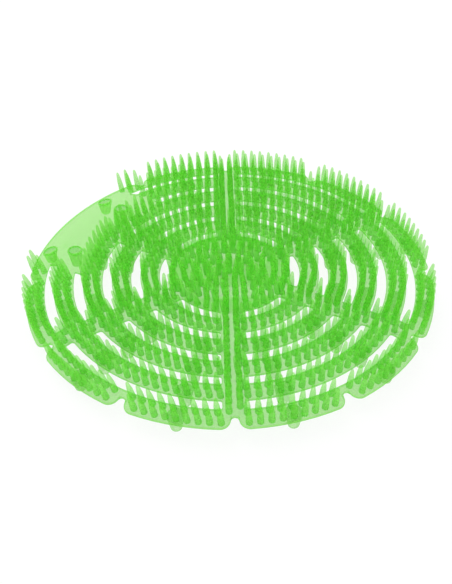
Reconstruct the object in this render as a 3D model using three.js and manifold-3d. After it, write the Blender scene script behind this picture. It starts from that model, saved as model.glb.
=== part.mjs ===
// A urinal deodorizer screen: one thin round mat of soft scented plastic, moulded in one shot.
// A flat plate carries short bristles on top and round feet below, and long curved drain
// slots let the water through. Millimetres, +Z up, standing on its feet at z = 0, with the
// middle of the plate on the Z axis and the middle spoke of the front on the -Y side.
import * as THREE from 'three';
import { mergeGeometries, mergeVertices } from 'three/addons/utils/BufferGeometryUtils.js';
import Module from 'manifold-3d';

// Plate
const plateRadius = 95;
const plateThickness = 1.2;

// Sag: the soft rim hangs down outside the circle of this radius, most of all at its two sides
const sagStart = 83;
const frontSag = 2;               // at the rim, at the front and the back
const sideSag = 4;                // at the rim, at the left and the right

// Drain slots: rings of arcs, cut off by straight spokes that run out from the middle
const rimBand = 8.85;             // from the rim to the outermost slots
const slotPitch = 13.35;
const slotRings = 5;
const slotWidth = 4.3;
const slotCorner = 0.8;
const spokes = 6;
const spokeWidth = 9.8;

// Rim notches, each a round-ended slit with a flared mouth
const notches = 12;
const notchDepth = 5.4;
const notchWidth = 3.2;
const notchMouthRadius = 4.4;

// Bare grip, a straight-sided strip at the rim, turned from the front towards the left
const gripAngle = 120;            // degrees
const gripWidth = 68;
const gripRings = 2;              // slot rings that stop at its sides

// Bristles: two rows on each band between the slots, and two staggered columns on each spoke
const bristleHeight = 10.8;
const bristleBase = 2.6;
const bristleGap = 0.1;           // least gap between the bases of neighbours
const bristleSides = 3;
const bristleSplay = 11;          // degrees outwards at the rim, and less towards the middle
const bristleRake = 3;            // degrees to the left, the same all over
const bristlePitch = 4.5;
const rowSpacing = 4.5;
const rimMargin = 2.6;            // from the rim to the outermost row
const notchMargin = 0.6;          // from a notch to the base of a bristle
const slotMargin = 0.5;           // from the innermost slots to the base of a bristle
const spokeLane = 5.5;            // from a spoke's middle line to the first bristle of a row
const rowStagger = 1.3;           // how far an inner row is turned back against the outer one
const columnSpacing = 4.5;
const columnStep = 4.5;
const columnStagger = 0.5;        // share of the step between the two columns

// Feet: tapered studs on the four outer bands, between the notches
const feet = 12;
const footedBands = 4;
const footHeight = 8.4;
const footBase = 7.4;
const footTip = 4.6;
const footSides = 6;
const gripDimpleMouth = 6;        // round recess over each foot of the bare grip
const gripDimpleFloor = 3.8;
const gripDimpleDepth = 3.2;
const gripDimpleSides = 10;

// Fineness of the mesh
const slotStep = 0.2;             // radians between the points of a slot's edge
const leastSlot = 0.1;            // radians; a shorter bit of slot beside the grip is left out
const overrun = 1;                // how far a cut runs past the faces
const weld = 1e-4;

const wasm = await Module();
wasm.setup();

const { degToRad, lerp } = THREE.MathUtils;
const plateBottom = footHeight;
const plateTop = plateBottom + plateThickness;
const sink = plateThickness / 2;
const sector = 2 * Math.PI / spokes;
const notchPitch = 2 * Math.PI / notches;
const footPitch = 2 * Math.PI / feet;

// Angle 0 is the front, and angles grow towards the right
function point(angle, radius) {
  return new THREE.Vector2(radius * Math.sin(angle), -radius * Math.cos(angle));
}

// A place out along the ray at an angle, and then off to its side
function besideRay(angle, along, side) {
  return point(angle, along).add(point(angle + Math.PI / 2, side));
}

// Band 0 lies between the rim and the outermost slots, band 1 inside those slots, and so on
const bandInner = (band) => plateRadius - rimBand - band * slotPitch;
const bandOuter = (band) => (band === 0 ? plateRadius : bandInner(band - 1) - slotWidth);
const bandMiddle = (band) => (bandInner(band) + bandOuter(band)) / 2;

const gripTurn = 2 * Math.PI - degToRad(gripAngle);
const gripAxis = point(gripTurn, 1);

function onGrip(p, margin) {
  const beside = Math.abs(p.cross(gripAxis));
  const outside = p.dot(gripAxis) > 0 && p.length() > bandOuter(gripRings);
  return outside && beside < gripWidth / 2 + margin;
}

function solidOf(geometry) {
  geometry.deleteAttribute('normal');
  geometry.deleteAttribute('uv');
  const welded = mergeVertices(geometry, weld);
  return new wasm.Manifold(new wasm.Mesh({
    numProp: 3,
    vertProperties: new Float32Array(welded.attributes.position.array),
    triVerts: new Uint32Array(welded.index.array),
  }));
}

function slab(shape, bottom, top) {
  const geometry = new THREE.ExtrudeGeometry(shape, { depth: top - bottom, bevelEnabled: false });
  return solidOf(geometry.translate(0, 0, bottom));
}

// Half of a notch, from the rim down its flared mouth to the round bottom: across, and out
function halfNotch() {
  const mouthX = notchWidth / 2 + notchMouthRadius;
  const mouthY = Math.sqrt((plateRadius - notchMouthRadius) ** 2 - mouthX ** 2);
  const mouthTurn = Math.atan2(mouthX, mouthY);
  const bottomY = plateRadius - notchDepth + notchWidth / 2;
  const half = [-mouthTurn, (Math.PI / 2 - mouthTurn) / 2, Math.PI / 2].map((bend) => [
    -mouthX + notchMouthRadius * Math.sin(bend),
    mouthY + notchMouthRadius * Math.cos(bend),
  ]);
  const bend = Math.PI / 3;
  half.push([-notchWidth / 2 * Math.sin(bend), bottomY - notchWidth / 2 * Math.cos(bend)]);
  return half;
}

function plateOutline() {
  const left = halfNotch();
  const right = left.map(([x, y]) => [-x, y]).reverse();
  const notch = [...left, [0, plateRadius - notchDepth], ...right];
  const points = [];
  for (let i = 0; i < notches; i++) {
    const turn = i * notchPitch;
    points.push(point(turn - notchPitch / 2, plateRadius));
    points.push(point(turn - notchPitch / 4, plateRadius));
    if (onGrip(point(turn, plateRadius), 0)) points.push(point(turn, plateRadius));
    else points.push(...notch.map(([x, y]) => besideRay(turn, y, x)));
    points.push(point(turn + notchPitch / 4, plateRadius));
  }
  return new THREE.Shape(points);
}

// Where a line parallel to a ray, and off to its side, crosses the two edges of a slot
function crossing(turn, side, ring) {
  return {
    inner: turn + Math.asin(side / bandOuter(ring + 1)),
    outer: turn + Math.asin(side / bandInner(ring)),
  };
}

function slotShape(ring, from, to) {
  const outer = bandInner(ring);
  const inner = bandOuter(ring + 1);
  const share = slotCorner / slotWidth;
  const steps = Math.max(2, Math.round((to.outer - from.outer) / slotStep));
  const edge = (radius, a, b) => Array.from({ length: steps + 1 }, (_, i) =>
    point(lerp(a + slotCorner / radius, b - slotCorner / radius, i / steps), radius));
  return new THREE.Shape([
    ...edge(outer, from.outer, to.outer),
    point(lerp(to.outer, to.inner, share), outer - slotCorner),
    point(lerp(to.inner, to.outer, share), inner + slotCorner),
    ...edge(inner, from.inner, to.inner).reverse(),
    point(lerp(from.inner, from.outer, share), inner + slotCorner),
    point(lerp(from.outer, from.inner, share), outer - slotCorner),
  ]);
}

function slotSolids() {
  const shapes = [];
  for (let ring = 0; ring < slotRings; ring++) {
    const gripStart = crossing(gripTurn, -gripWidth / 2, ring);
    const gripStop = crossing(gripTurn, gripWidth / 2, ring);
    for (let i = 0; i < spokes; i++) {
      const start = crossing(i * sector, spokeWidth / 2, ring);
      const stop = crossing((i + 1) * sector, -spokeWidth / 2, ring);
      const stopsAtGrip = ring < gripRings && gripStart.outer < stop.outer && gripStop.outer > start.outer;
      const pieces = stopsAtGrip ? [[start, gripStart], [gripStop, stop]] : [[start, stop]];
      for (const [from, to] of pieces) {
        if (to.outer - from.outer > leastSlot) shapes.push(slotShape(ring, from, to));
      }
    }
  }
  return shapes.map((shape) => slab(shape, plateBottom - overrun, plateTop + overrun));
}

// Two rows of bristles along every band, from one spoke to the next
function rowPlaces() {
  const places = [];
  const addRow = (radius, firstLane, lastLane) => {
    const first = Math.asin(firstLane / radius);
    const last = sector - Math.asin(lastLane / radius);
    const steps = Math.max(1, Math.round((last - first) * radius / bristlePitch));
    for (let i = 0; i < spokes; i++) {
      for (let k = 0; k <= steps; k++) {
        places.push(point(i * sector + lerp(first, last, k / steps), radius));
      }
    }
  };
  const besideColumn = columnSpacing / 2 + bristleBase + bristleGap;
  const innerStart = Math.max(besideColumn, spokeLane - rowStagger);
  for (let band = 0; band < slotRings; band++) {
    const middle = band === 0 ? plateRadius - rimMargin - rowSpacing / 2 : bandMiddle(band);
    addRow(middle + rowSpacing / 2, spokeLane, spokeLane);
    addRow(middle - rowSpacing / 2, innerStart, spokeLane + rowStagger);
  }
  return places;
}

// Two columns along every spoke
function columnPlaces() {
  const places = [];
  const start = plateRadius - notchDepth - rimMargin;
  const stop = bandOuter(slotRings);
  for (let i = 0; i < spokes; i++) {
    for (const side of [-1, 1]) {
      const first = start - (side > 0 ? columnStagger * columnStep : 0);
      for (let radius = first; radius > stop; radius -= columnStep) {
        places.push(besideRay(i * sector, radius, side * columnSpacing / 2));
      }
    }
  }
  return places;
}

// Rings of bristles on the solid disc inside the innermost slots
function middlePlaces() {
  const places = [new THREE.Vector2(0, 0)];
  const edge = bandOuter(slotRings) - slotMargin - bristleBase / 2;
  const rings = Math.floor(edge / rowSpacing);
  for (let ring = 1; ring <= rings; ring++) {
    const radius = edge * ring / rings;
    const count = Math.round(2 * Math.PI * radius / bristlePitch);
    for (let k = 0; k < count; k++) places.push(point(2 * Math.PI * (k + 0.5) / count, radius));
  }
  return places;
}

function nearNotch(p) {
  const angle = Math.atan2(p.x, -p.y);
  const turn = Math.round(angle / notchPitch) * notchPitch;
  const side = Math.abs(p.length() * Math.sin(angle - turn));
  const depth = plateRadius - p.length();
  const clear = bristleBase / 2 + notchMargin;
  const flare = Math.max(0, notchMouthRadius - depth);
  return depth < notchDepth + clear && side < notchWidth / 2 + clear + flare;
}

// How far a bristle leans across for each millimetre up
function leanAt(p) {
  const splay = Math.tan(degToRad(bristleSplay)) / plateRadius;
  const rake = Math.tan(degToRad(bristleRake));
  return new THREE.Vector2(splay * p.x - rake, splay * p.y);
}

// One bristle, upright, then turned to face outwards, sheared by its lean and set in place
function bristle(p) {
  const length = bristleHeight + sink;
  const cone = new THREE.ConeGeometry(bristleBase / 2, length, bristleSides);
  cone.rotateX(Math.PI / 2);
  cone.rotateZ(Math.atan2(p.x, -p.y));
  cone.translate(0, 0, length / 2 - sink);
  const lean = leanAt(p);
  return cone.applyMatrix4(new THREE.Matrix4().set(
    1, 0, lean.x, p.x,
    0, 1, lean.y, p.y,
    0, 0, 1, plateTop,
    0, 0, 0, 1,
  ));
}

function bristleSolid() {
  const rows = rowPlaces().filter((p) => !nearNotch(p));
  const outer = [...rows, ...columnPlaces()].filter((p) => !onGrip(p, bristleBase / 2));
  return solidOf(mergeGeometries([...outer, ...middlePlaces()].map(bristle)));
}

function footPlaces() {
  const places = [];
  for (let band = 0; band < footedBands; band++) {
    for (let i = 0; i < feet; i++) places.push(point((i + 0.5) * footPitch, bandMiddle(band)));
  }
  return places;
}

function footSolid() {
  const profile = [
    [0, 0],
    [footTip / 2, 0],
    [footBase / 2, plateBottom],
    [footBase / 2, plateBottom + sink],
    [0, plateBottom + sink],
  ].map(([radius, height]) => new THREE.Vector2(radius, height));
  const studs = footPlaces().map((p) =>
    new THREE.LatheGeometry(profile, footSides).rotateX(Math.PI / 2).translate(p.x, p.y, 0));
  return solidOf(mergeGeometries(studs));
}

function dimpleSolids() {
  const depth = gripDimpleDepth + overrun;
  const topWidth = lerp(gripDimpleFloor, gripDimpleMouth, depth / gripDimpleDepth);
  return footPlaces().filter((p) => onGrip(p, 0)).map((p) => {
    const bore = new THREE.CylinderGeometry(topWidth / 2, gripDimpleFloor / 2, depth, gripDimpleSides);
    return solidOf(bore.rotateX(Math.PI / 2).translate(p.x, p.y, plateTop + overrun - depth / 2));
  });
}

// Lowers a point by the sag of the plate there. The feet get shorter, and still end at z = 0
function sag(p) {
  const [x, y, z] = p;
  const radius = Math.hypot(x, y);
  if (radius <= sagStart) return;
  const atRim = lerp(frontSag, sideSag, (x / radius) ** 2);
  const share = (radius - sagStart) / (plateRadius - sagStart);
  p[2] = z - atRim * share * Math.min(1, z / plateBottom);
}

let screen = slab(plateOutline(), plateBottom, plateTop);
for (const slot of slotSolids()) screen = screen.subtract(slot);
screen = screen.add(footSolid()).add(bristleSolid());
for (const dimple of dimpleSolids()) screen = screen.subtract(dimple);
screen = screen.warp(sag);

const mesh = screen.getMesh();
const surface = new THREE.BufferGeometry();
surface.setAttribute('position', new THREE.BufferAttribute(new Float32Array(mesh.vertProperties), 3));
surface.setIndex(new THREE.BufferAttribute(new Uint32Array(mesh.triVerts), 1));
surface.computeVertexNormals();

const softGreen = new THREE.MeshStandardMaterial({ color: 0x66cc45, roughness: 0.45, metalness: 0 });
const node = new THREE.Mesh(surface, softGreen);
node.name = 'screen';
const part = new THREE.Group();
part.add(node);

export default part;
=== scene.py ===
# %% [markdown]
# # A soft screen for a urinal
#
# The real object is one round mat of scented EVA, a soft rubbery plastic. It is moulded in one
# shot: a thin plate with long drain slots, about a thousand short bristles on top and
# forty-eight feet below. This file loads the CAD model as the frame, models the mat again with
# rounded edges, round bristles and round feet, and gives it the look of EVA.

# %% Load the frame
import math
import random

import bmesh
import bpy
from mathutils import Matrix, Vector


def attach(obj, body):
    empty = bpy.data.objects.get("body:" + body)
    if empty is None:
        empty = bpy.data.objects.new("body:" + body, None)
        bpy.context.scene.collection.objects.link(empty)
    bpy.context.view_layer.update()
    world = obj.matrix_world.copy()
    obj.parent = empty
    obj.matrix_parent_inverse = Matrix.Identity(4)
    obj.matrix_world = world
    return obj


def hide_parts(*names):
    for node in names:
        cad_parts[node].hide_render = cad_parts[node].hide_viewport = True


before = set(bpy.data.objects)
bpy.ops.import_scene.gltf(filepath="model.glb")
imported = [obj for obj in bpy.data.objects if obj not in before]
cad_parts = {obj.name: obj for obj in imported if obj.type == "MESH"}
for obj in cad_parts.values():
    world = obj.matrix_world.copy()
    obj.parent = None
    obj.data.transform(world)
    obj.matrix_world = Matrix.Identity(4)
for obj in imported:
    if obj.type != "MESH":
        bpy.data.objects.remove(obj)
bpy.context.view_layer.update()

# %% [markdown]
# ## Sizes
#
# All sizes are in millimetres, and they are those of the CAD model, so that the new mat takes
# exactly its place. One number turns them into metres, which is what the frame uses.

# %% The plate's sizes
MM = 0.001
PLATE_RADIUS = 95
PLATE_THICKNESS = 1.2
FOOT_HEIGHT = 8.4
PLATE_TOP = FOOT_HEIGHT + PLATE_THICKNESS
RIM_BAND = 8.85
SLOT_RINGS = 5
SLOT_PITCH = 13.35
SLOT_WIDTH = 4.3
SPOKES = 6
SPOKE_WIDTH = 9.8
SECTOR = 2 * math.pi / SPOKES
NOTCHES = 12
NOTCH_PITCH = 2 * math.pi / NOTCHES


def place(angle, radius):
    """A place on the plate. Angle 0 is the front, and angles grow towards the right."""
    return Vector((radius * math.sin(angle), -radius * math.cos(angle)))


def beside_ray(angle, along, side):
    """A place out along the ray at an angle, and then off to its side."""
    return place(angle, along) + place(angle + math.pi / 2, side)


def off_ray(p, pitch):
    """How far a place lies beside the nearest ray, with a ray at every pitch round the plate."""
    angle = math.atan2(p.x, -p.y)
    return abs(p.length * math.sin(angle - round(angle / pitch) * pitch))


def band_inner(band):
    """Band 0 lies between the rim and the outermost slots, and the others follow inwards."""
    return PLATE_RADIUS - RIM_BAND - band * SLOT_PITCH


def band_outer(band):
    return PLATE_RADIUS if band == 0 else band_inner(band - 1) - SLOT_WIDTH


def band_middle(band):
    return (band_inner(band) + band_outer(band)) / 2


DISC_RADIUS = band_outer(SLOT_RINGS)
bands = [(round(band_inner(b), 2), round(band_outer(b), 2)) for b in range(SLOT_RINGS)]
print("bands, mm:", bands, "and a disc of radius", round(DISC_RADIUS, 2))

# %% [markdown]
# ## The bare grip
#
# One strip at the rim has no bristles, so that a finger can hold the mat there. Its sides are
# straight and parallel, and the two outer rings of slots stop at them. A test says whether a
# place lies on the strip, and the slots and bristles below use it.

# %% The grip
GRIP_TURN = math.radians(240)
GRIP_WIDTH = 68
GRIP_RINGS = 2
grip_axis = place(GRIP_TURN, 1)


def on_grip(p, margin):
    outside = p.dot(grip_axis) > 0 and p.length > band_outer(GRIP_RINGS)
    return outside and abs(p.cross(grip_axis)) < GRIP_WIDTH / 2 + margin


print("the grip points to", [round(v, 3) for v in grip_axis])

# %% [markdown]
# ## The rim and its notches
#
# The rim is a circle with a notch every thirty degrees, but for the one that the grip takes.
# A notch is a slit with a round bottom and a mouth that flares out to the rim. It is drawn
# once, as one half and its mirror image, and then turned into each place.

# %% The outline of the plate
NOTCH_DEPTH = 5.4
NOTCH_WIDTH = 3.2
MOUTH_RADIUS = 4.4
NOTCH_STEP = math.radians(12)
ARC_STEP = math.radians(3)
LEAST_STEPS = 2


def arc(centre_x, centre_y, radius, start, stop):
    """Points on a small circle, by angles from the upward direction towards the right."""
    count = max(LEAST_STEPS, round(abs(stop - start) / NOTCH_STEP))
    turns = [start + (stop - start) * i / count for i in range(count + 1)]
    return [(centre_x + radius * math.sin(t), centre_y + radius * math.cos(t)) for t in turns]


def notch_line():
    """The notch in its own place: x to its side, y out from the middle of the plate."""
    mouth_x = NOTCH_WIDTH / 2 + MOUTH_RADIUS
    mouth_y = math.sqrt((PLATE_RADIUS - MOUTH_RADIUS) ** 2 - mouth_x ** 2)
    mouth_turn = math.atan2(mouth_x, mouth_y)
    bottom_y = PLATE_RADIUS - NOTCH_DEPTH + NOTCH_WIDTH / 2
    left = arc(-mouth_x, mouth_y, MOUTH_RADIUS, -mouth_turn, math.pi / 2)
    left += arc(0, bottom_y, NOTCH_WIDTH / 2, -math.pi / 2, -math.pi)[1:]
    return left + [(-x, y) for x, y in reversed(left[:-1])]


def rim_line():
    notch = notch_line()
    half_notch = math.atan2(notch[-1][0], notch[-1][1])
    line = []
    for i in range(NOTCHES):
        turn = i * NOTCH_PITCH
        plain = on_grip(place(turn, PLATE_RADIUS), 0)
        if not plain:
            line += [beside_ray(turn, y, x) for x, y in notch]
        start = turn if plain else turn + half_notch + ARC_STEP
        next_plain = on_grip(place(turn + NOTCH_PITCH, PLATE_RADIUS), 0)
        stop = turn + NOTCH_PITCH - (0 if next_plain else half_notch + ARC_STEP)
        steps = round((stop - start) / ARC_STEP)
        spots = range(steps) if next_plain else range(steps + 1)
        line += [place(start + (stop - start) * k / steps, PLATE_RADIUS) for k in spots]
    return line


rim = rim_line()
print("points on the rim:", len(rim))

# %% [markdown]
# ## The drain slots
#
# Each slot is a bent strip between two spokes. Its ends aren't cut square across the arc but
# parallel to the spoke, or to the side of the grip, because in the real mould the spokes are
# straight bars. So each end is found where a straight line crosses the slot's two arcs. The
# corners are rounded, as a cutter leaves them in the mould. Where the grip takes nearly all of
# a slot, the sliver that is left isn't cut.

# %% The outlines of the slots
SLOT_CORNER = 1.1
CORNER_POINTS = 5
LEAST_SLOT = 0.1


def crossing(turn, side, ring):
    """The angles at which a line beside a ray crosses a slot's inner and outer arc."""
    inner = turn + math.asin(side / band_outer(ring + 1))
    outer = turn + math.asin(side / band_inner(ring))
    return inner, outer


def rounded(corner, before, after, radius):
    """Points of a rounded corner, as a curve that starts and ends at a distance from it."""
    a = corner + (before - corner).normalized() * radius
    b = corner + (after - corner).normalized() * radius
    points = []
    for i in range(CORNER_POINTS):
        t = i / (CORNER_POINTS - 1)
        points.append(a * (1 - t) ** 2 + corner * (2 * t * (1 - t)) + b * t ** 2)
    return points


def slot_line(ring, start, stop):
    inner, outer = band_outer(ring + 1), band_inner(ring)
    corners = [
        place(start[1], outer), place(stop[1], outer),
        place(stop[0], inner), place(start[0], inner),
    ]

    def edge(radius, a, b):
        a += math.copysign(SLOT_CORNER / radius, b - a)
        b -= math.copysign(SLOT_CORNER / radius, b - a)
        steps = max(LEAST_STEPS, round(abs(b - a) / ARC_STEP))
        return [place(a + (b - a) * k / steps, radius) for k in range(steps + 1)]

    outside = edge(outer, start[1], stop[1])
    inside = edge(inner, stop[0], start[0])
    line = outside[1:-1]
    line += rounded(corners[1], outside[-1], corners[2], SLOT_CORNER)
    line += rounded(corners[2], corners[1], inside[0], SLOT_CORNER)
    line += inside[1:-1]
    line += rounded(corners[3], inside[-1], corners[0], SLOT_CORNER)
    line += rounded(corners[0], corners[3], outside[0], SLOT_CORNER)
    return line


slots = []
for ring in range(SLOT_RINGS):
    for i in range(SPOKES):
        start = crossing(i * SECTOR, SPOKE_WIDTH / 2, ring)
        stop = crossing((i + 1) * SECTOR, -SPOKE_WIDTH / 2, ring)
        spans = [(start, stop)]
        if ring < GRIP_RINGS:
            grip_start = crossing(GRIP_TURN, -GRIP_WIDTH / 2, ring)
            grip_stop = crossing(GRIP_TURN, GRIP_WIDTH / 2, ring)
            if grip_start[1] < stop[1] and grip_stop[1] > start[1]:
                spans = [(start, grip_start), (grip_stop, stop)]
        slots += [slot_line(ring, a, b) for a, b in spans if b[1] - a[1] > LEAST_SLOT]
print("slots:", len(slots))

# %% [markdown]
# ## The plate
#
# A flat plate with many holes and a soft edge could be cut with booleans, but a flat curve
# does it in one go: Blender fills it, leaves its inner loops open as holes, gives it a
# thickness and rounds all its edges. The curve grows by the bevel, so it is first drawn in by
# as much, and the slots keep their width. The result is turned into a mesh. The feet under the
# grip have a recess from above, so the plate has a round hole over each of them.

# %% Make the plate
EDGE_RADIUS = 0.35
FOOTED_BANDS = 4
DIMPLE_RADIUS = 2.95
DIMPLE_POINTS = 24
WELD = 0.002
foot_places = [
    place((i + 0.5) * NOTCH_PITCH, band_middle(band))
    for band in range(FOOTED_BANDS) for i in range(NOTCHES)
]
solid_feet = [p for p in foot_places if not on_grip(p, 0)]
grip_feet = [p for p in foot_places if on_grip(p, 0)]


def ring_line(middle):
    turns = [2 * math.pi * k / DIMPLE_POINTS for k in range(DIMPLE_POINTS)]
    return [middle + place(turn, DIMPLE_RADIUS) for turn in turns]


def add_loop(curve, points):
    spline = curve.splines.new("POLY")
    spline.points.add(len(points) - 1)
    for spot, p in zip(spline.points, points):
        spot.co = (p[0] * MM, p[1] * MM, 0, 1)
    spline.use_cyclic_u = True


def closed_mesh(name, mesh):
    """An object from a mesh whose doubled points are joined, so that it is one closed skin."""
    skin = bmesh.new()
    skin.from_mesh(mesh)
    bmesh.ops.remove_doubles(skin, verts=skin.verts, dist=WELD * MM)
    bmesh.ops.recalc_face_normals(skin, faces=skin.faces)
    open_edges = sum(1 for edge in skin.edges if len(edge.link_faces) != 2)
    skin.to_mesh(mesh)
    skin.free()
    made = bpy.data.objects.new(name, mesh)
    bpy.context.scene.collection.objects.link(made)
    print(name, "faces:", len(mesh.polygons), "open edges:", open_edges)
    return made


sheet_curve = bpy.data.curves.new("plate_line", "CURVE")
sheet_curve.dimensions = "2D"
sheet_curve.fill_mode = "BOTH"
sheet_curve.extrude = (PLATE_THICKNESS / 2 - EDGE_RADIUS) * MM
sheet_curve.bevel_depth = EDGE_RADIUS * MM
sheet_curve.bevel_resolution = 1
sheet_curve.offset = -EDGE_RADIUS * MM
for loop in [rim] + slots + [ring_line(p) for p in grip_feet]:
    add_loop(sheet_curve, loop)
drawn = bpy.data.objects.new("plate_line", sheet_curve)
bpy.context.scene.collection.objects.link(drawn)
bpy.context.view_layer.update()
graph = bpy.context.evaluated_depsgraph_get()
plate_mesh = bpy.data.meshes.new_from_object(drawn.evaluated_get(graph))
bpy.data.objects.remove(drawn)
plate_mesh.transform(Matrix.Translation((0, 0, (FOOT_HEIGHT + PLATE_THICKNESS / 2) * MM)))
plate = closed_mesh("plate", plate_mesh)

# %% [markdown]
# ## Clear and milky places
#
# Every point of the mat keeps a number from 0 to 1 that says how milky the plastic looks there,
# and the material uses it later. The thin flat faces are the clearest. The walls of the slots
# and the rim are milkier, because one looks along them through more plastic. The middle disc
# is milkier too, and that is painted shade: the bristles stand close together there and shut
# out the light from below, and the extra milk makes the plate and the bristle roots greener
# and less see-through, as that shade would.
# Blender could work this out from the real thickness, with fog inside the plastic, but with a
# thousand bristles that is slow and grainy, and a number at each point costs nothing.

# %% Mark the plate
FLAT_MILK = 0.28
# painted shade: a milkier middle disc stands in for the light that its packed bristles shut out
DISC_SHADE_MILK = 0.52
WALL_MILK = 0.6
FACE_MARGIN = 0.1 * EDGE_RADIUS


def mark_milk(mesh, milk_at):
    marks = mesh.attributes.new("milk", "FLOAT", "POINT")
    for point, mark in zip(mesh.vertices, marks.data):
        mark.value = milk_at(point.co / MM)


def plate_milk(co):
    from_middle = abs(co.z - FOOT_HEIGHT - PLATE_THICKNESS / 2)
    if from_middle <= PLATE_THICKNESS / 2 - FACE_MARGIN:
        return WALL_MILK
    # the middle disc takes the milk of the painted shade, the rest of the faces the clear milk
    return DISC_SHADE_MILK if co.xy.length < DISC_RADIUS + EDGE_RADIUS else FLAT_MILK


mark_milk(plate_mesh, plate_milk)
print("marked points:", len(plate_mesh.vertices))

# %% [markdown]
# ## Rows of bristles
#
# Two rows of bristles follow every band of the plate, from spoke to spoke, the inner one set
# off a little along the band. None stand at a notch. The places could be typed in or spread
# with arrays, but each band has its own length and gaps, so a short rule works them out. The
# CAD model has the same rule.

# %% Places along the bands
BRISTLE_BASE = 2.6
BRISTLE_GAP = 0.1
BRISTLE_PITCH = 4.5
ROW_SPACING = 4.5
RIM_MARGIN = 2.6
NOTCH_MARGIN = 0.6
SPOKE_LANE = 5.5
ROW_STAGGER = 1.3
COLUMN_SPACING = 4.5


def row(radius, first_lane, last_lane):
    """Places along one arc, from a lane beside each spoke to a lane beside the next."""
    first = math.asin(first_lane / radius)
    last = SECTOR - math.asin(last_lane / radius)
    steps = max(1, math.floor((last - first) * radius / BRISTLE_PITCH + 0.5))
    return [
        place(i * SECTOR + first + (last - first) * k / steps, radius)
        for i in range(SPOKES) for k in range(steps + 1)
    ]


def near_notch(p):
    depth = PLATE_RADIUS - p.length
    clear = BRISTLE_BASE / 2 + NOTCH_MARGIN
    flare = max(0, MOUTH_RADIUS - depth)
    wide = NOTCH_WIDTH / 2 + clear + flare
    return depth < NOTCH_DEPTH + clear and off_ray(p, NOTCH_PITCH) < wide


rows = []
inner_start = max(COLUMN_SPACING / 2 + BRISTLE_BASE + BRISTLE_GAP, SPOKE_LANE - ROW_STAGGER)
for band in range(SLOT_RINGS):
    middle = PLATE_RADIUS - RIM_MARGIN - ROW_SPACING / 2 if band == 0 else band_middle(band)
    rows += row(middle + ROW_SPACING / 2, SPOKE_LANE, SPOKE_LANE)
    rows += row(middle - ROW_SPACING / 2, inner_start, SPOKE_LANE + ROW_STAGGER)
rows = [p for p in rows if not near_notch(p)]
print("bristles in rows, the grip still covered:", len(rows))

# %% [markdown]
# ## Columns on the spokes, and the disc
#
# Two staggered columns of bristles follow every spoke, and rings of them cover the solid disc
# in the middle. At the end, those that would stand on the grip are left out.

# %% Places on the spokes and the disc
SLOT_MARGIN = 0.5
COLUMN_STEP = 4.5
COLUMN_STAGGER = 0.5

columns = []
for i in range(SPOKES):
    for side in (-1, 1):
        along = PLATE_RADIUS - NOTCH_DEPTH - RIM_MARGIN
        along -= COLUMN_STAGGER * COLUMN_STEP if side > 0 else 0
        while along > DISC_RADIUS:
            columns.append(beside_ray(i * SECTOR, along, side * COLUMN_SPACING / 2))
            along -= COLUMN_STEP

disc = [Vector((0, 0))]
disc_edge = DISC_RADIUS - SLOT_MARGIN - BRISTLE_BASE / 2
disc_rings = math.floor(disc_edge / ROW_SPACING)
for ring in range(1, disc_rings + 1):
    radius = disc_edge * ring / disc_rings
    count = math.floor(2 * math.pi * radius / BRISTLE_PITCH + 0.5)
    disc += [place(2 * math.pi * (k + 0.5) / count, radius) for k in range(count)]

bristle_places = [p for p in rows + columns if not on_grip(p, BRISTLE_BASE / 2)] + disc
print("bristles:", len(bristle_places))

# %% [markdown]
# ## Turned bodies
#
# Bristles and feet are round. One side of such a body is drawn as a line, and the line is
# turned round to make the body. Blender's Screw modifier does that too, but for one body at a
# time. This function writes all bodies of a kind into one mesh, and it lets each of them lean:
# every level is pushed aside by its height, so that the foot stays flat on the plate.

# %% A function for turned bodies
def turned(line, top, sides, origins, leans):
    """One mesh with a closed turned body at every origin. line is (radius, height) from below."""
    corners, faces = [], []
    turns = [2 * math.pi * k / sides for k in range(sides)]
    for origin, lean in zip(origins, leans):
        first = len(corners)
        for radius, height in line:
            middle = origin + lean * height
            corners += [
                (middle.x + radius * math.cos(t), middle.y + radius * math.sin(t), height)
                for t in turns
            ]
        tip = origin + lean * top
        corners.append((tip.x, tip.y, top))
        faces.append([first + k for k in reversed(range(sides))])
        for level in range(len(line) - 1):
            low = first + level * sides
            for k in range(sides):
                after = (k + 1) % sides
                faces.append([low + k, low + after, low + sides + after, low + sides + k])
        last = first + (len(line) - 1) * sides
        faces += [[last + k, last + (k + 1) % sides, len(corners) - 1] for k in range(sides)]
    mesh = bpy.data.meshes.new("turned")
    mesh.from_pydata([(x * MM, y * MM, z * MM) for x, y, z in corners], [], faces)
    return mesh


# %% [markdown]
# ## The bristles
#
# A bristle is a short round peg, wide at its foot so that it doesn't tear off and comes out of
# the mould, with a small blunt tip. All lean outwards towards the rim and a little to one
# side, and each also strays its own way, because soft bristles get bent when the mat is
# packed. Those on the spokes and the disc stray more, and at the rim the strays fade away. A
# bristle gets clearer towards its thin tip.

# %% Make the bristles
BRISTLE_HEIGHT = 10.8
BRISTLE_SPLAY = math.radians(11)
BRISTLE_RAKE = math.radians(3)
BRISTLE_SIDES = 10
STRAY = math.radians(4)
LOOSE_STRAY = math.radians(9)
STRAY_FADE = 4
SPOKE_MIDDLE = COLUMN_SPACING / 2 + 0.1
SINK = PLATE_THICKNESS / 2
BASE_MILK = 0.42
TIP_MILK = 0.2
MILK_FADE = 1.5
bristle_line = [
    (1.45, -SINK), (1.42, 1.0), (1.25, 5.2), (0.75, 9.6), (0.55, 10.4), (0.28, 10.72),
]
chance = random.Random(7)


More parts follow.
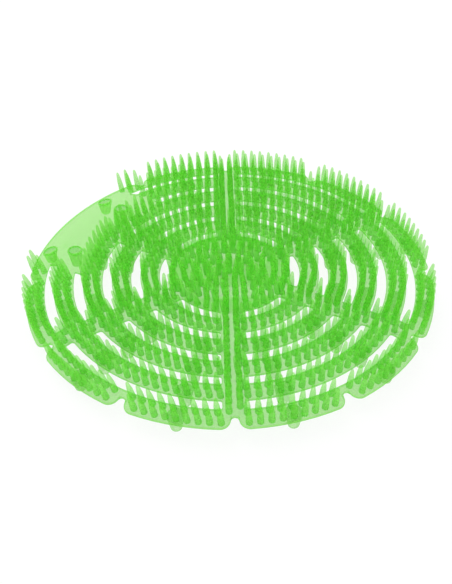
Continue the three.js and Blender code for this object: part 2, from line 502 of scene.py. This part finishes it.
def lean_at(p):
    """How far a bristle leans across for each millimetre up."""
    splay = math.tan(BRISTLE_SPLAY) / PLATE_RADIUS
    loose = off_ray(p, SECTOR) < SPOKE_MIDDLE or p.length < DISC_RADIUS
    fade = 1 - (p.length / PLATE_RADIUS) ** STRAY_FADE
    most = math.tan(LOOSE_STRAY if loose else STRAY) * fade
    stray = Vector((chance.uniform(-most, most), chance.uniform(-most, most)))
    return Vector((splay * p.x - math.tan(BRISTLE_RAKE), splay * p.y)) + stray


def bristle_milk(co):
    up = (co.z - PLATE_TOP) / BRISTLE_HEIGHT
    # bristles on the middle disc start from the milk of the painted shade at their roots
    base = DISC_SHADE_MILK if co.xy.length < DISC_RADIUS else BASE_MILK
    return base + (TIP_MILK - base) * max(0, up) ** MILK_FADE


leans = [lean_at(p) for p in bristle_places]
bristle_mesh = turned(bristle_line, BRISTLE_HEIGHT, BRISTLE_SIDES, bristle_places, leans)
bristle_mesh.transform(Matrix.Translation((0, 0, PLATE_TOP * MM)))
bristles = closed_mesh("bristles", bristle_mesh)
mark_milk(bristle_mesh, bristle_milk)

# %% [markdown]
# ## The feet
#
# The mat stands on tapered feet with rounded ends, one in each of the four outer bands halfway
# between the notches. They are turned like the bristles, but stand upright. Those under the
# grip have a tapered recess from above, which keeps the thick plastic there from sinking as it
# cools, so their line goes on over the edge and down inside.

# %% Make the feet
FOOT_SIDES = 24
FOOT_TOP = FOOT_HEIGHT + SINK
CUP_FLOOR = 6.4
FOOT_MILK = 0.26
CUP_MILK = 0.42
foot_line = [
    (1.2, 0.0), (1.85, 0.22), (2.3, 0.75), (2.5, 1.6), (3.4, 7.4), (3.7, 8.4), (3.7, 8.9),
]
cup_line = foot_line + [(DIMPLE_RADIUS, 8.9), (2.7, 8.4), (2.35, 7.2), (1.6, 6.55)]
upright = [Vector((0, 0))] * len(foot_places)

feet_mesh = turned(foot_line, FOOT_TOP, FOOT_SIDES, solid_feet, upright)
feet = closed_mesh("feet", feet_mesh)
mark_milk(feet_mesh, lambda co: FOOT_MILK)

cups_mesh = turned(cup_line, CUP_FLOOR, FOOT_SIDES, grip_feet, upright)
cups = closed_mesh("cups", cups_mesh)
mark_milk(cups_mesh, lambda co: CUP_MILK)

# %% [markdown]
# ## The sag
#
# EVA is soft, and the last ring of slots cuts the rim nearly free, so the rim hangs down by a
# few millimetres, most at the left and the right. A simulation could find such a shape, but
# it wouldn't be that of the CAD model, so the same rule as there lowers every point. The feet
# get shorter by as much, because their ends rest on the ground. The plate's long triangles
# are cut into short ones first, so that the grip bends smoothly.

# %% Let the rim sag
SAG_START = 83
FRONT_SAG = 2
SIDE_SAG = 4
LONGEST_EDGE = 5.0
CUT_ROUNDS = 3


def sag(co):
    """How far a point in millimetres sinks."""
    radius = math.hypot(co.x, co.y)
    if radius <= SAG_START:
        return 0
    at_rim = FRONT_SAG + (SIDE_SAG - FRONT_SAG) * (co.x / radius) ** 2
    share = (radius - SAG_START) / (PLATE_RADIUS - SAG_START)
    return at_rim * share * min(1, co.z / FOOT_HEIGHT)


cut = bmesh.new()
cut.from_mesh(plate_mesh)
bmesh.ops.triangulate(cut, faces=cut.faces)
for i in range(CUT_ROUNDS):
    near_rim = [
        edge for edge in cut.edges
        if edge.calc_length() > LONGEST_EDGE * MM
        and max(v.co.xy.length for v in edge.verts) > SAG_START * MM
    ]
    bmesh.ops.subdivide_edges(cut, edges=near_rim, cuts=1)
    bmesh.ops.triangulate(cut, faces=cut.faces)
cut.to_mesh(plate_mesh)
cut.free()
for mesh in (plate_mesh, bristle_mesh, feet_mesh, cups_mesh):
    for point in mesh.vertices:
        point.co.z -= sag(point.co / MM) * MM
print("sag at the side, mm:", sag(Vector((PLATE_RADIUS, 0, PLATE_TOP))))

# %% [markdown]
# ## One mat
#
# The bristles and feet stand a little way inside the plate. Their hidden ends stay there: they
# stand for the extra plastic at each root, which makes it greener, as on the real mat. A
# boolean union would remove them, and would take long for a thousand bodies. So all are only
# joined into one object, with soft shading that stops at sharp edges.

# %% Join the pieces
SHARP_ANGLE = math.radians(50)
pieces = [plate, feet, cups, bristles]
with bpy.context.temp_override(active_object=plate, selected_editable_objects=pieces):
    bpy.ops.object.join()
mat = plate
mat.name = "mat"
joined = mat.data
joined.shade_smooth()
joined.set_sharp_from_angle(angle=SHARP_ANGLE)
shading = mat.modifiers.new("flat plate", "WEIGHTED_NORMAL")
shading.keep_sharp = True
print("the mat has", sum(len(face.vertices) - 2 for face in joined.polygons), "triangles")

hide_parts("screen")
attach(mat, "root")

# %% [markdown]
# ## EVA, moulded
#
# Scented EVA is a milky, see-through rubber. Light goes through a thin wall and comes out
# pale green, and many walls behind each other make a deep green, but never black, because the
# plastic also scatters some light back. So every surface is a mix: one share lets light
# through with a tint, and the milky share is a green that glows with the light on either side.
# The number kept at each point says how large the milky share is. Light isn't bent on its way,
# as it would be in glass: the walls are thin, and without it the picture is quick and clean.

# %% The plastic
MILKY_GREEN = "9AEF64"
CLEAR_GREEN = "EAFCE0"
GLOW_SHARE = 0.5


def linear(hex_colour):
    """An sRGB colour such as 66CC45 as the linear numbers that Blender wants."""
    channels = [int(hex_colour[i:i + 2], 16) / 255 for i in (0, 2, 4)]
    return [c / 12.92 if c <= 0.04045 else ((c + 0.055) / 1.055) ** 2.4 for c in channels] + [1]


def add_node(tree, kind, settings=(), links=()):
    """Adds a node, sets its inputs or properties by name, and links inputs to outputs."""
    node = tree.nodes.new(kind)
    for name, value in dict(settings).items():
        if isinstance(name, int) or name in node.inputs:
            node.inputs[name].default_value = value
        else:
            setattr(node, name, value)
    for name, output in dict(links).items():
        tree.links.new(node.inputs[name], output)
    return node


def new_material(name):
    material = bpy.data.materials.new(name)
    material.use_nodes = True
    material.node_tree.nodes.clear()
    return material, material.node_tree


eva, tree = new_material("EVA, moulded")
milk = add_node(tree, "ShaderNodeAttribute", {"attribute_name": "milk"})
body = add_node(tree, "ShaderNodeBsdfPrincipled", {
    "Base Color": linear(MILKY_GREEN),
    "Roughness": 0.42,
    "IOR": 1.48,
    "Specular IOR Level": 0.3,
})
glow = add_node(tree, "ShaderNodeBsdfTranslucent", {"Color": linear(MILKY_GREEN)})
milky = add_node(tree, "ShaderNodeMixShader", {0: GLOW_SHARE}, {
    1: body.outputs[0],
    2: glow.outputs[0],
})
clear = add_node(tree, "ShaderNodeBsdfTransparent", {"Color": linear(CLEAR_GREEN)})
wall = add_node(tree, "ShaderNodeMixShader", {}, {
    0: milk.outputs["Fac"],
    1: clear.outputs[0],
    2: milky.outputs[0],
})
add_node(tree, "ShaderNodeOutputMaterial", {}, {"Surface": wall.outputs[0]})
joined.materials.clear()
joined.materials.append(eva)
print("material:", eva.name)

# %% [markdown]
# ## The floor
#
# The mat lies on a plain white floor. Lit by soft lamps alone, white paper turns grey in a
# photograph, so part of the floor's white is given to it only where the camera looks at it,
# straight or through the plastic. The rest is lit as usual and keeps the soft shadow.

# %% Floor
FLOOR_SIZE = 6.0
GIVEN_WHITE = 0.9
half = FLOOR_SIZE / 2
floor_corners = [(-half, -half, 0), (half, -half, 0), (half, half, 0), (-half, half, 0)]
floor_mesh = bpy.data.meshes.new("floor")
floor_mesh.from_pydata(floor_corners, [], [(0, 1, 2, 3)])
floor = bpy.data.objects.new("floor", floor_mesh)
bpy.context.scene.collection.objects.link(floor)

paper, tree = new_material("white paper")
sheet = add_node(tree, "ShaderNodeBsdfDiffuse", {"Color": linear("F4F4F4")})
white = add_node(tree, "ShaderNodeEmission", {"Color": linear("FFFFFF"), "Strength": 1.0})
ray = add_node(tree, "ShaderNodeLightPath")
looked_at = add_node(tree, "ShaderNodeMath", {"operation": "MAXIMUM"}, {
    0: ray.outputs["Is Camera Ray"],
    1: ray.outputs["Is Transmission Ray"],
})
given = add_node(tree, "ShaderNodeMath", {"operation": "MULTIPLY", 1: GIVEN_WHITE}, {
    0: looked_at.outputs[0],
})
both = add_node(tree, "ShaderNodeMixShader", {}, {
    0: given.outputs[0],
    1: sheet.outputs[0],
    2: white.outputs[0],
})
add_node(tree, "ShaderNodeOutputMaterial", {}, {"Surface": both.outputs[0]})
floor_mesh.materials.append(paper)
print("floor:", FLOOR_SIZE, "m square")

# %% [markdown]
# ## Light
#
# Soft daylight from a white sky lights the mat from all sides, and one large soft lamp above
# and behind gives the bristles a bright and a shaded side.

# %% Sky and lamp
LAMP_PLACE = Vector((-0.35, 0.45, 0.9))
LAMP_SIZE = 0.7
LAMP_POWER = 6.0

sky = bpy.data.worlds.new("white studio")
bpy.context.scene.world = sky
sky.use_nodes = True
sky.node_tree.nodes.clear()
daylight = {"Color": linear("FFFFFF"), "Strength": 1.0}
backdrop = add_node(sky.node_tree, "ShaderNodeBackground", daylight)
add_node(sky.node_tree, "ShaderNodeOutputWorld", {}, {"Surface": backdrop.outputs[0]})

soft_box = bpy.data.lights.new("soft box above", "AREA")
soft_box.size = LAMP_SIZE
soft_box.energy = LAMP_POWER
lamp = bpy.data.objects.new("soft box above", soft_box)
lamp.location = LAMP_PLACE
lamp.rotation_euler = (-LAMP_PLACE).to_track_quat("-Z", "Y").to_euler()
bpy.context.scene.collection.objects.link(lamp)
print(lamp.name, "at", [round(v, 2) for v in LAMP_PLACE], "m,", LAMP_POWER, "W")

# %% [markdown]
# ## Camera
#
# The photograph looks down at about forty degrees with a normal lens, from near enough to see
# the front of the mat larger than its back. The numbers come from fitting the rings of slots.
# The Standard view shows the colours as they are, so that the white paper stays white.

# %% Camera
ELEVATION = math.radians(40.101)
ROLL = math.radians(-1.066)
TURN = math.radians(-0.5)
DISTANCE = 0.41834
SHIFT_RIGHT = 0.004 * DISTANCE
SHIFT_DOWN = -0.023 * DISTANCE
SENSOR_WIDTH = 36
FOCAL_LENGTH = 54.98
CLIP_START = 0.01

lens = bpy.data.cameras.new("camera")
lens.sensor_width = SENSOR_WIDTH
lens.lens = FOCAL_LENGTH
lens.clip_start = CLIP_START
ahead = Vector((0, math.cos(ELEVATION), -math.sin(ELEVATION)))
right = Vector((1, 0, 0))
up = right.cross(ahead)
axes = Matrix((right, up, -ahead)).transposed() @ Matrix.Rotation(ROLL, 3, "Z")
aim = Vector((0, 0, PLATE_TOP * MM))
spot = aim - axes.col[0] * SHIFT_RIGHT + axes.col[1] * SHIFT_DOWN - ahead * DISTANCE
camera = bpy.data.objects.new("camera", lens)
camera.matrix_world = Matrix.Rotation(TURN, 4, "Z") @ Matrix.Translation(spot) @ axes.to_4x4()
bpy.context.scene.collection.objects.link(camera)
bpy.context.scene.camera = camera
bpy.context.scene.view_settings.view_transform = "Standard"
print("camera at", [round(v, 3) for v in camera.matrix_world.translation])
